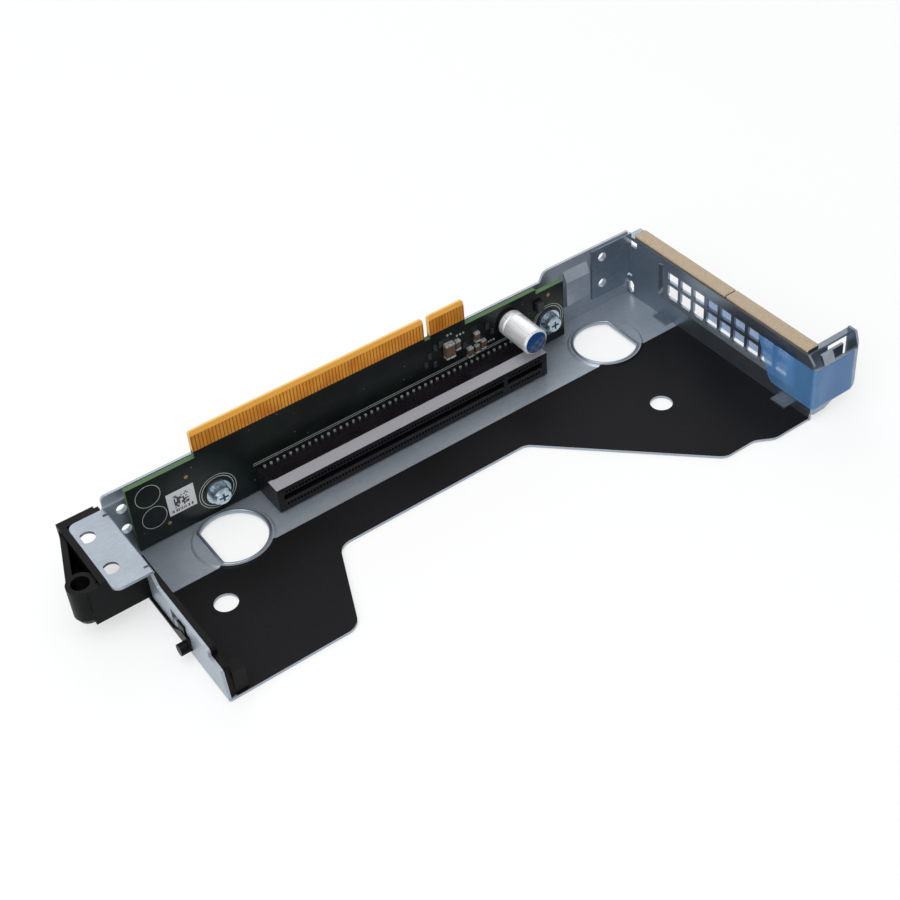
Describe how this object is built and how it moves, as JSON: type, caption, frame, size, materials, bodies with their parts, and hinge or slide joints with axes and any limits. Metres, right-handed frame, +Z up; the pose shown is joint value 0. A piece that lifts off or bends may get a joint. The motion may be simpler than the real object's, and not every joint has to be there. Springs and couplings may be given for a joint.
{
  "type": "server riser",
  "caption": "Flat sheet-metal riser tray that carries an upright circuit board with a gold card edge, a black card slot and a vented end bracket.",
  "frame": {"origin": "centre of the left round hole of the tray, on the underside of the floor", "axes": "+X along the slot towards the vented bracket, +Y from the open edge of the tray to its back wall, +Z up, along the hole and the card edge"},
  "size_m": [0.209, 0.0798, 0.0307],
  "materials": {
    "zinc_plated_steel": "zinc plated, satin",
    "black_film": "matt printed film",
    "gasket_cloth": "woven conductive cloth over foam",
    "blue_film": "smooth adhesive film",
    "black_plastic": "moulded, fine grain",
    "green_laminate": "solder mask on glass laminate",
    "gold": "gold plated",
    "slot_plastic": "moulded",
    "solder": "tin plated",
    "aluminium_can": "drawn can",
    "seal_rubber": "moulded",
    "brown_ceramic": "fired ceramic",
    "black_ceramic": "fired ceramic",
    "white_paper": "printed label",
    "screw_steel": "zinc plated, bright"
  },
  "bodies": {
    "root": {"tray": "zinc_plated_steel", "rear_plate": "zinc_plated_steel", "vent_bracket": "zinc_plated_steel", "insulator_film": "black_film", "emi_gasket": "gasket_cloth", "touch_label": "blue_film", "guide": "black_plastic", "circuit_board": "green_laminate", "edge_contacts_front": "gold", "edge_contacts_rear": "gold", "slot_housing": "slot_plastic", "slot_contacts_upper": "gold", "slot_contacts_lower": "gold", "slot_tails": "solder", "capacitor_can": "aluminium_can", "capacitor_seal": "seal_rubber", "chip_capacitors": "brown_ceramic", "chip_terminals": "solder", "chip_resistors": "black_ceramic", "block_inductor": "black_ceramic", "solder_points": "solder", "board_label": "white_paper", "flat_washers": "screw_steel", "spring_washers": "screw_steel", "board_screws": "screw_steel", "standoffs": "screw_steel"}
  },
  "joints": []
}
